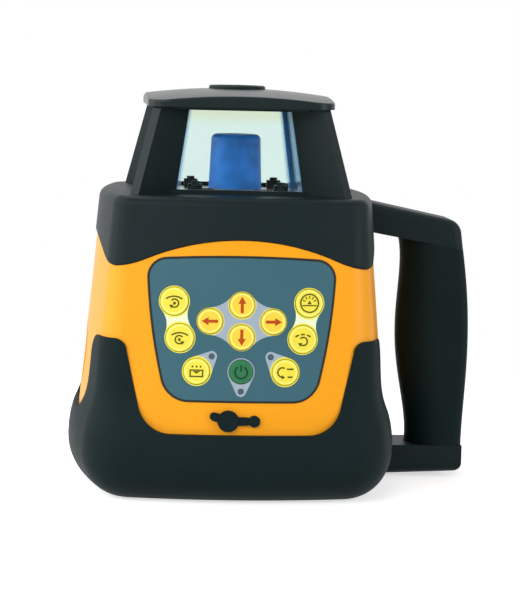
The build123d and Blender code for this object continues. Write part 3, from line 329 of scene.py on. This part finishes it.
# Camera
outward = Vector((sin(view_azimuth) * cos(view_elevation), -cos(view_azimuth) * cos(view_elevation),
                  sin(view_elevation)))
right = Vector((0, 0, 1)).cross(outward).normalized()
above = outward.cross(right)
rolled_right = cos(view_roll) * right + sin(view_roll) * above
rolled_above = cos(view_roll) * above - sin(view_roll) * right
camera_data = bpy.data.cameras.new("camera")
camera_data.sensor_width = sensor_width
camera_data.sensor_fit = "AUTO"
camera_data.lens = focal_pixels / max(photo_width, photo_height) * sensor_width
camera = bpy.data.objects.new("camera", camera_data)
turn = Matrix((rolled_right, rolled_above, outward)).transposed().to_4x4()
camera.matrix_world = Matrix.Translation(view_target + view_distance * outward) @ turn
bpy.context.collection.objects.link(camera)
bpy.context.scene.camera = camera
bpy.context.scene.view_settings.view_transform = "Standard"


def white_to_eye(tree, shade, shown):
    """Mixes two shaders: the eye, mirrors and glass see the second one, other light the first."""
    path = tree.nodes.new("ShaderNodeLightPath")
    seen = path.outputs["Is Camera Ray"]
    for ray in ("Is Glossy Ray", "Is Transmission Ray"):
        seen = worked_out(tree, "MAXIMUM", seen, path.outputs[ray])
    both = tree.nodes.new("ShaderNodeMixShader")
    tree.links.new(seen, both.inputs["Fac"])
    tree.links.new(shade, both.inputs[1])
    tree.links.new(shown, both.inputs[2])
    return both.outputs[0]


# World: soft even light, seen as white
white = (1.0, 1.0, 1.0, 1.0)
world_strength = 0.35
world = bpy.data.worlds.new("studio")
bpy.context.scene.world = world
world.use_nodes = True
soft = world.node_tree.nodes["Background"]
soft.inputs["Color"].default_value = white
soft.inputs["Strength"].default_value = world_strength
seen_white = world.node_tree.nodes.new("ShaderNodeBackground")
seen_white.inputs["Color"].default_value = white
mixed = white_to_eye(world.node_tree, soft.outputs[0], seen_white.outputs[0])
world.node_tree.links.new(mixed, world.node_tree.nodes["World Output"].inputs["Surface"])

# Floor, in metres
floor_half = 6.0
floor_drop = 0.0002
shadow_near = 0.16
shadow_far = 0.5
floor_glow = 0.62


def floor_finish():
    """Pale floor: partly lit by itself near the object, where it takes the shadow, and white further out."""
    pale = surface("pale_floor", (0.86, 0.86, 0.86), 0.7, variation=0.01, patch=3.0, grain_height=0,
                   Specular_IOR_Level=0.0)
    tree = pale.node_tree
    shade = tree.nodes["Principled BSDF"].outputs[0]
    glow = tree.nodes.new("ShaderNodeEmission")
    glow.inputs["Strength"].default_value = floor_glow
    lit = tree.nodes.new("ShaderNodeAddShader")
    tree.links.new(shade, lit.inputs[0])
    tree.links.new(glow.outputs[0], lit.inputs[1])
    far_white = tree.nodes.new("ShaderNodeEmission")
    place = tree.nodes.new("ShaderNodeTexCoord")
    reach = tree.nodes.new("ShaderNodeVectorMath")
    reach.operation = "LENGTH"
    tree.links.new(place.outputs["Object"], reach.inputs[0])
    faded = tree.nodes.new("ShaderNodeMixShader")
    tree.links.new(ramp(tree, reach.outputs["Value"], shadow_near, shadow_far), faded.inputs["Fac"])
    tree.links.new(lit.outputs[0], faded.inputs[1])
    tree.links.new(far_white.outputs[0], faded.inputs[2])
    seen = white_to_eye(tree, shade, faded.outputs[0])
    tree.links.new(seen, tree.nodes["Material Output"].inputs["Surface"])
    return pale


floor_mesh = bpy.data.meshes.new("floor")
floor_corners = [(-floor_half, -floor_half, 0), (floor_half, -floor_half, 0), (floor_half, floor_half, 0),
                 (-floor_half, floor_half, 0)]
floor_mesh.from_pydata(floor_corners, [], [(0, 1, 2, 3)])
floor_mesh.materials.append(floor_finish())
floor = bpy.data.objects.new("floor", floor_mesh)
bpy.context.collection.objects.link(floor)
floor.location.z = -floor_drop


def lamp(name, place, watts, width, height):
    """Soft rectangular light that faces the middle of the object; sizes are in metres."""
    data = bpy.data.lights.new(name, "AREA")
    data.shape = "RECTANGLE"
    data.size = width
    data.size_y = height
    data.energy = watts
    made = bpy.data.objects.new(name, data)
    made.location = place
    towards = view_target - Vector(place)
    made.rotation_euler = towards.to_track_quat("-Z", "Y").to_euler()
    bpy.context.collection.objects.link(made)


lamp("left_light", place=(-1.7, -0.2, 0.8), watts=30.0, width=2.6, height=1.6)
lamp("front_light", place=(-0.7, -1.5, 0.9), watts=10.5, width=1.0, height=0.8)
lamp("top_light", place=(-0.2, 0.5, 1.5), watts=8.0, width=1.2, height=0.8)
lamp("right_light", place=(1.5, -1.0, 0.55), watts=10.0, width=0.9, height=0.9)


def on_wall(x, z, proud):
    """Point of the bowed, leaning front wall at x and z, a distance outside it."""
    bow = bow_radius - z * tan(case_lean) + proud
    return Vector((x, bow_radius - case_half - sqrt(bow**2 - x**2), z)) * mm


def on_panel(across, up, height):
    """Place on the keypad panel, for printed layers."""
    return on_wall(across, up, panel_proud + ink_gap + height)


def wall_frame(x, z):
    """Point on the front wall at x and z, with its directions across, up and outward."""
    swing = asin(x / (bow_radius - z * tan(case_lean)))
    across = Vector((cos(swing), sin(swing), 0))
    normal = Vector((cos(case_lean) * sin(swing), -cos(case_lean) * cos(swing), sin(case_lean)))
    return on_wall(x, z, 0), across, normal.cross(across), normal


def on_key(name):
    """Gives the function that puts a flat layer on the face of a key."""
    middle, side, upward, normal = wall_frame(*keys[name][:2])

    def place(across, up, height):
        return middle + (side * across + upward * up + normal * (key_proud + ink_gap + height)) * mm

    return place


def piece(name, mesh, finish, body):
    """New object from a finished mesh in the row frame, which rides on a body."""
    made = bpy.data.objects.new(name, mesh)
    bpy.context.collection.objects.link(made)
    mesh.materials.append(finish)
    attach(made, body)
    return made


def too_long(flat):
    """Edges of a flat layer that are too long to follow the bowed wall."""
    return [edge for edge in flat.edges if edge.calc_length() > film_step]


def layer(name, outlines, place, finish, body, thickness=ink_thickness):
    """Thin printed layer: flat outlines, with holes as outlines inside others, filled and laid on a
    face by the place function."""
    flat = bmesh.new()
    for outline in outlines:
        corners = [flat.verts.new((across, up, 0)) for across, up in outline]
        for start, end in zip(corners, corners[1:] + corners[:1]):
            flat.edges.new((start, end))
    bmesh.ops.triangle_fill(flat, use_beauty=True, use_dissolve=False, edges=flat.edges[:])
    while too_long(flat):
        bmesh.ops.subdivide_edges(flat, edges=too_long(flat), cuts=1)
        bmesh.ops.triangulate(flat, faces=flat.faces[:])
    raised = bmesh.ops.extrude_face_region(flat, geom=flat.faces[:])["geom"]
    for corner in raised:
        if isinstance(corner, bmesh.types.BMVert):
            corner.co.z = thickness
    for corner in flat.verts:
        corner.co = place(*corner.co)
    bmesh.ops.recalc_face_normals(flat, faces=flat.faces[:])
    mesh = bpy.data.meshes.new(name)
    flat.to_mesh(mesh)
    flat.free()
    return piece(name, mesh, finish, body)


# Flat outlines; angles are in degrees


def arc(centre, radius, start, sweep, steps=arc_steps):
    """Points along an arc."""
    turns = [radians(start + sweep * step / steps) for step in range(steps + 1)]
    return [(centre[0] + radius * cos(turn), centre[1] + radius * sin(turn)) for turn in turns]


def disc(centre, radius):
    """Outline of a full circle."""
    return arc(centre, radius, 0, 360, disc_steps)[:-1]


def band(centre, radius, width, start, sweep):
    """Outline of a curved stroke."""
    outer = arc(centre, radius + width / 2, start, sweep)
    inner = arc(centre, radius - width / 2, start + sweep, -sweep)
    return outer + inner


def head(centre, radius, angle, turn):
    """Arrow head at the end of a curved stroke; turn is 1 to point anticlockwise and -1 clockwise."""
    away = Vector((cos(radians(angle)), sin(radians(angle))))
    along = Vector((-away.y, away.x)) * turn
    foot = Vector(centre) + away * radius + along * head_gap
    corners = (foot - away * head_half, foot + away * head_half, foot + along * head_length)
    return [tuple(corner) for corner in corners]


def stroke(start, end, width):
    """Outline of a straight stroke."""
    along = Vector((end[0] - start[0], end[1] - start[1])).normalized() * width / 2
    side = Vector((-along.y, along.x))
    corners = (Vector(start) + side, Vector(start) - side, Vector(end) - side, Vector(end) + side)
    return [tuple(corner) for corner in corners]


def turned(outline, angle):
    """Outline turned about its own middle."""
    c, s = cos(radians(angle)), sin(radians(angle))
    return [(c * across - s * up, s * across + c * up) for across, up in outline]


def flipped(outline):
    """Outline mirrored left to right."""
    return [(-across, up) for across, up in outline]


def drawn_in(outline, distance):
    """Outline moved towards its inside by a distance; it runs anticlockwise."""
    moved = []
    for before, at, after in zip(outline[-1:] + outline[:-1], outline, outline[1:] + outline[:1]):
        along = (Vector(after) - Vector(before)).normalized()
        moved.append((at[0] - along.y * distance, at[1] + along.x * distance))
    return moved


def lobed(centres, radius, waist):
    """Round lobes at the centres, in anticlockwise order, joined by hollow arcs of the waist radius."""
    count = len(centres)
    hollows = []
    for place in range(count):
        here = Vector(centres[place])
        reach = (Vector(centres[(place + 1) % count]) - here) / 2
        outward_side = Vector((reach.y, -reach.x)).normalized()
        hollows.append(here + reach + outward_side * sqrt((radius + waist)**2 - reach.length_squared))
    outline = []
    for place in range(count):
        here = Vector(centres[place])
        after = Vector(centres[(place + 1) % count])
        arrive = hollows[place - 1] - here
        leave = hollows[place] - here
        start = atan2(arrive.y, arrive.x)
        sweep = (atan2(leave.y, leave.x) - start) % (2 * pi)
        outline += arc(here, radius, degrees(start), degrees(sweep))
        back = here - hollows[place]
        on = after - hollows[place]
        start = atan2(back.y, back.x)
        sweep = -((start - atan2(on.y, on.x)) % (2 * pi))
        outline += arc(hollows[place], waist, degrees(start), degrees(sweep))[1:-1]
    return outline


def teardrop(big, big_radius, small, small_radius):
    """Large and small circle joined by their outer tangents."""
    away = Vector(small) - Vector(big)
    middle = degrees(atan2(away.y, away.x))
    half_open = 90 - degrees(asin((big_radius - small_radius) / away.length))
    big_part = arc(big, big_radius, middle + half_open, 360 - 2 * half_open)
    small_part = arc(small, small_radius, middle - half_open, 2 * half_open)
    return big_part + small_part


# Inks
pale_ink = (0.8, 0.92, 0.6)
blue_ink = (0.34, 0.41, 0.49)
# painted glow that the keys throw on the pads round them
painted_glow_ink = (0.84, 0.76, 0.06)


def ink(name, colour):
    """Printed ink: slightly uneven, with little shine."""
    return surface(name, colour, 0.5, variation=0.06, grain_height=10, Specular_IOR_Level=0.2)


arrow_ink = ink("arrow_ink", (0.45, 0.06, 0.004))
legend_ink = ink("legend_ink", (0.075, 0.08, 0.006))
power_ink = ink("power_ink", (0.0, 0.04, 0.012))
# painted shadow of the gap round the keypad panel
edge_shade_ink = ink("edge_shade_ink", (0.016, 0.014, 0.008))
# painted glow along the edge of each yellow key
painted_glow_rim_ink = ink("painted_glow_rim_ink", (0.88, 0.86, 0.2))

# Pads round the keys; a halo of painted glow from the keys runs from its full strength to nothing
key_clearance = 0.25
lamp_hole = 1.5
lamp_rim = 2.6
pair_margin = 0.7
pair_waist = 10.7
pair_halo = (0.4, 1.7)
arrow_margin = 0.45
arrow_waist = 16.0
arrow_halo = (0.3, 1.2)
drop_margin = 0.8
drop_halo = (0.7, 1.6)


def holes(*names):
    """Openings in a pad for the keys that come through it."""
    return [disc(keys[name][:2], keys[name][2] + key_clearance) for name in names]


def pad(name, outlines, finish):
    """Printed pad on the panel."""
    layer(f"pad_{name}", outlines, on_panel, finish, "housing")


for side, pair in key_pairs.items():
    lobes = lobed([keys[name][:2] for name in pair], keys[pair[0]][2] + pair_margin, pair_waist)
    pair_ink = with_painted_glow(ink(f"pale_pad_{side}", pale_ink), painted_glow_ink, pair, pair_halo)
    pad(f"pair_{side}", [lobes] + holes(*pair), pair_ink)
arrow_lobes = lobed([keys[name][:2] for name in arrow_keys], keys["key_up"][2] + arrow_margin, arrow_waist)
arrow_pad_ink = with_painted_glow(ink("arrow_pad", blue_ink), painted_glow_ink, arrow_keys, arrow_halo)
pad("arrows", [arrow_lobes] + holes(*arrow_keys), arrow_pad_ink)
for name, small in lamps.items():
    x, z, radius = keys[name]
    drop_ink = ink(f"drop_{bare(name)}", blue_ink)
    if name != "key_power":
        with_painted_glow(drop_ink, painted_glow_ink, (name,), drop_halo)
    drop = teardrop((x, z), radius + drop_margin, small, lamp_rim)
    pad(bare(name), [drop, disc(small, lamp_hole)] + holes(name), drop_ink)

# Painted shade: a dark line round the edge of the panel, inside the rim of its outer face, for the shadow of
# the gap between panel and case
panel_middle_z = 88.0
facing_front = -0.7                 # the normal of a face on the front has a smaller y
key_surround = 1.0
lamp_surround = 2.0
edge_shade_start = 0.05
edge_shade_end = 0.95
rim_digits = 3


def in_a_hole(x, z):
    """Whether a point of the panel lies on the edge of an opening for a key or a lamp."""
    at_key = any((x - kx)**2 + (z - kz)**2 < (radius + key_surround)**2 for kx, kz, radius in keys.values())
    at_lamp = any((x - lx)**2 + (z - lz)**2 < lamp_surround**2 for lx, lz in lamps.values())
    return at_key or at_lamp


def panel_rim():
    """Outline of the panel's outer face, anticlockwise. Its rim edges belong to one face, on the front."""
    panel = nodes["keypad_overlay"].data
    slopes = {}
    for face in panel.polygons:
        for edge in face.edge_keys:
            slopes.setdefault(edge, []).append(face.normal.y)
    spots = set()
    for edge, found in slopes.items():
        if len(found) == 1 and found[0] < facing_front:
            for corner in edge:
                at = panel.vertices[corner].co / mm
                if not in_a_hole(at.x, at.z):
                    spots.add((round(at.x, rim_digits), round(at.z, rim_digits)))
    return sorted(spots, key=lambda spot: atan2(spot[1] - panel_middle_z, spot[0]))


rim_line = panel_rim()
edge_shade = [drawn_in(rim_line, edge_shade_start), drawn_in(rim_line, edge_shade_end)]
layer("panel_edge_shade", edge_shade, on_panel, edge_shade_ink, "housing")


def print_on_key(kind, name, outlines, finish):
    """Printed layer on the face of a key, which moves with it."""
    layer(f"{kind}_{bare(name)}", outlines, on_key(name), finish, f"{name}_body")


# Pale rim on each yellow key, a painted glow along its edge, by its distances from the edge
rim_start = 0.55
rim_end = 1.35
for name in keys:
    if name != "key_power":
        radius = keys[name][2]
        rim = [disc((0, 0), radius - rim_start), disc((0, 0), radius - rim_end)]
        print_on_key("rim", name, rim, painted_glow_rim_ink)

# Signs on the keys, about the middle of each key's face
line = 0.75
thick_line = 0.8
loop_middle = (0.2, -1.0)
loop_radius = 2.0
loop_end = -120
brow_middle = (0, -4.4)
brow_radius = 6.8
dial_radius = 4.8
dial_ring = 0.7
dial_level = -1.15
ray_start = 2.3
ray_end = 3.7
bend_middle = (-1.5, 0)
bend_radius = 2.3
bend_from = 60
bend_sweep = 200
power_line = 0.85
arrow_sign = [(-0.75, -3.9), (0.75, -3.9), (0.75, 0.7), (2.0, 0.7), (0.0, 4.1), (-2.0, 0.7), (-0.75, 0.7)]
loop_sign = [band(loop_middle, loop_radius, line, loop_end, 260)]
loop_sign += [head(loop_middle, loop_radius, loop_end, -1)]
brow_sign = [band(brow_middle, brow_radius, line, 54, 72)]
dashes_sign = [band(brow_middle, brow_radius, thick_line, start, 17) for start in (56, 82, 107)]
scan_sign = brow_sign + loop_sign + [disc(loop_middle, 0.75)]
dial_sign = [disc((0, 0), dial_radius), disc((0, 0), dial_radius - dial_ring)]
dial_sign += [[(-1.1, -0.5), (1.1, -0.5), (0, 1.5)]]
for angle in (25, 57, 90, 123, 155):
    across, up = cos(radians(angle)), sin(radians(angle))
    dial_sign += [stroke((ray_start * across, ray_start * up), (ray_end * across, ray_end * up), 0.55)]
dial_sign += [stroke((-ray_end, dial_level), (ray_end, dial_level), 0.6)]
level_sign = [stroke((-3.4, -1.0), (3.4, -1.0), 3.8), stroke((-2.7, -1.0), (2.7, -1.0), 2.4)]
level_sign += [[(-1.9, 0.05), (0, -1.2), (1.9, 0.05)]]
level_sign += [disc((across, 2.3), 0.5) for across in (-2.0, 0.0, 2.0)]
manual_sign = [band(bend_middle, bend_radius, line, bend_from, bend_sweep)]
manual_sign += [head(bend_middle, bend_radius, bend_from + bend_sweep, 1)]
manual_sign += [stroke((0.7, 1.6), (4.0, 1.6), thick_line), stroke((1.1, -2.3), (3.6, -2.3), thick_line)]
power_sign = [band((0, -0.3), 3.0, power_line, 122, 296), stroke((0, 0.2), (0, 3.2), power_line)]
signs = {
    "key_up": ([arrow_sign], arrow_ink),
    "key_left": ([turned(arrow_sign, 90)], arrow_ink),
    "key_down": ([turned(arrow_sign, 180)], arrow_ink),
    "key_right": ([turned(arrow_sign, -90)], arrow_ink),
    "key_scan_left": (scan_sign, legend_ink),
    "key_scan_right": ([flipped(outline) for outline in scan_sign], legend_ink),
    "key_scan_angle": (dial_sign, legend_ink),
    "key_spin_speed": (dashes_sign + loop_sign, legend_ink),
    "key_tilt_alarm": (level_sign, legend_ink),
    "key_auto_manual": (manual_sign, legend_ink),
    "key_power": (power_sign, power_ink),
}
for name, (outlines, sign_ink) in signs.items():
    print_on_key("sign", name, outlines, sign_ink)

smooth_angle = radians(32)          # edges that turn by less are shaded smooth


def skinned(name, rings):
    """Mesh through closed rings of points, with both ends filled and sharp edges kept."""
    shape = bmesh.new()
    loops = [[shape.verts.new(point) for point in ring] for ring in rings]
    for lower, upper in zip(loops, loops[1:]):
        for corner in range(len(lower)):
            shape.faces.new((lower[corner - 1], lower[corner], upper[corner], upper[corner - 1]))
    shape.faces.new(loops[0])
    shape.faces.new(loops[-1])
    bmesh.ops.recalc_face_normals(shape, faces=shape.faces[:])
    mesh = bpy.data.meshes.new(name)
    shape.to_mesh(mesh)
    shape.free()
    mesh.shade_smooth()
    mesh.set_sharp_from_angle(angle=smooth_angle)
    return mesh


# Bending neck of the socket cap's strap, from inside the cap's half to inside the anchor
socket_x = -5.9
socket_z = 42.2
neck_start = 7.2
neck_end = 12.8
neck_half = 1.85
neck_low = 0.45
neck_high = 1.35
neck_round = 0.3
neck_round_steps = 4
neck_steps = 28
socket_spot, socket_side, socket_up, socket_out = wall_frame(socket_x, socket_z)


def on_strap(reach, up, height):
    """Place on the strap: distance from the plug, across the strap, and above the wall."""
    return socket_spot + (socket_side * reach + socket_up * up + socket_out * height) * mm


neck_section = []
middle_height = (neck_low + neck_high) / 2
half_height = (neck_high - neck_low) / 2 - neck_round
for up, height, start in ((1, 1, 0), (-1, 1, 90), (-1, -1, 180), (1, -1, 270)):
    corner = (up * (neck_half - neck_round), middle_height + height * half_height)
    neck_section += arc(corner, neck_round, start, 90, neck_round_steps)
neck_reaches = [neck_start + (neck_end - neck_start) * step / neck_steps for step in range(neck_steps + 1)]
neck_rings = [[on_strap(reach, up, height) for up, height in neck_section] for reach in neck_reaches]
neck = bpy.data.objects.new("dust_cap_neck", skinned("dust_cap_neck", neck_rings))
bpy.context.collection.objects.link(neck)
neck.data.materials.append(finishes["black_rubber"])
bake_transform(neck)

# Threaded inserts: the same outside as the frame's, with a 5/8-11 thread in the hole
inch = 25.4
thread_minor = 6.75
thread_major = 7.94
thread_pitch = inch / 11
thread_depth = 16.0
thread_slices = 72
steps_per_pitch = 14
crest_share = 0.12                  # flat part of a thread, as a share of its half pitch
flank_share = 0.76
lead_in = 8.5
insert_outline = [(16.6, 0.0), (17.0, 0.4), (17.0, 2.0), (12.0, 2.0), (12.0, 17.4), (11.4, 18.0)]
side_insert_x = -74.0
side_insert_z = 66.0


def thread_radius(depth, share):
    """Radius of the threaded hole at a depth and a share of a full turn."""
    phase = (depth / thread_pitch - share) % 1.0
    flank = 1 - abs(2 * phase - 1)
    height = min(1.0, max(0.0, (flank - crest_share) / flank_share))
    run_out = min(1.0, (thread_depth - depth) / thread_pitch)
    return thread_minor + (thread_major - thread_minor) * height * run_out


def threaded_insert(name, place):
    """Insert with a real thread; place turns the two coordinates of a slice and its depth into a point."""
    shares = [step / thread_slices for step in range(thread_slices)]
    rows = int(thread_depth / thread_pitch * steps_per_pitch)
    rings = []
    for row in range(rows, 0, -1):
        depth = thread_depth * row / rows
        rings.append([(thread_radius(depth, share), share, depth) for share in shares])
    for radius, depth in [(lead_in, 0.0)] + insert_outline:
        rings.append([(radius, share, depth) for share in shares])
    points = [[place(radius * cos(2 * pi * share), radius * sin(2 * pi * share), depth) * mm
               for radius, share, depth in ring] for ring in rings]
    made = piece(name, skinned(name, points), finishes["brass"], "housing")
    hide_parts(name.replace("_threaded", ""))


threaded_insert("tripod_insert_threaded", lambda across, along, depth: Vector((across, along, depth)))
threaded_insert("side_mount_insert_threaded",
                lambda across, along, depth: Vector((side_insert_x + depth, across, side_insert_z + along)))

# Cross recesses of the four screws under the base, as plates on their heads
screw_reach = 46.0
screw_face = 0.6
screw_plate = 0.4
screw_plate_radius = 3.4
arm_half = 0.5
arm_reach = 2.0
cross_arm = [(arm_half, arm_half), (arm_half, arm_reach), (-arm_half, arm_reach)]
cross = [corner for quarter in range(4) for corner in turned(cross_arm, 90 * quarter)]


def under_base(x, y):
    """Gives the function that lays a plate on the head of the base screw at x and y."""

    def place(across, up, height):
        return Vector((x + across, y + up, screw_face - height)) * mm

    return place


for number, (x, y) in enumerate(((-1, -1), (1, -1), (1, 1), (-1, 1)), 1):
    layer(f"screw_recess_{number}", [disc((0, 0), screw_plate_radius), cross],
          under_base(screw_reach * x, screw_reach * y), finishes["steel"], "housing", screw_plate)
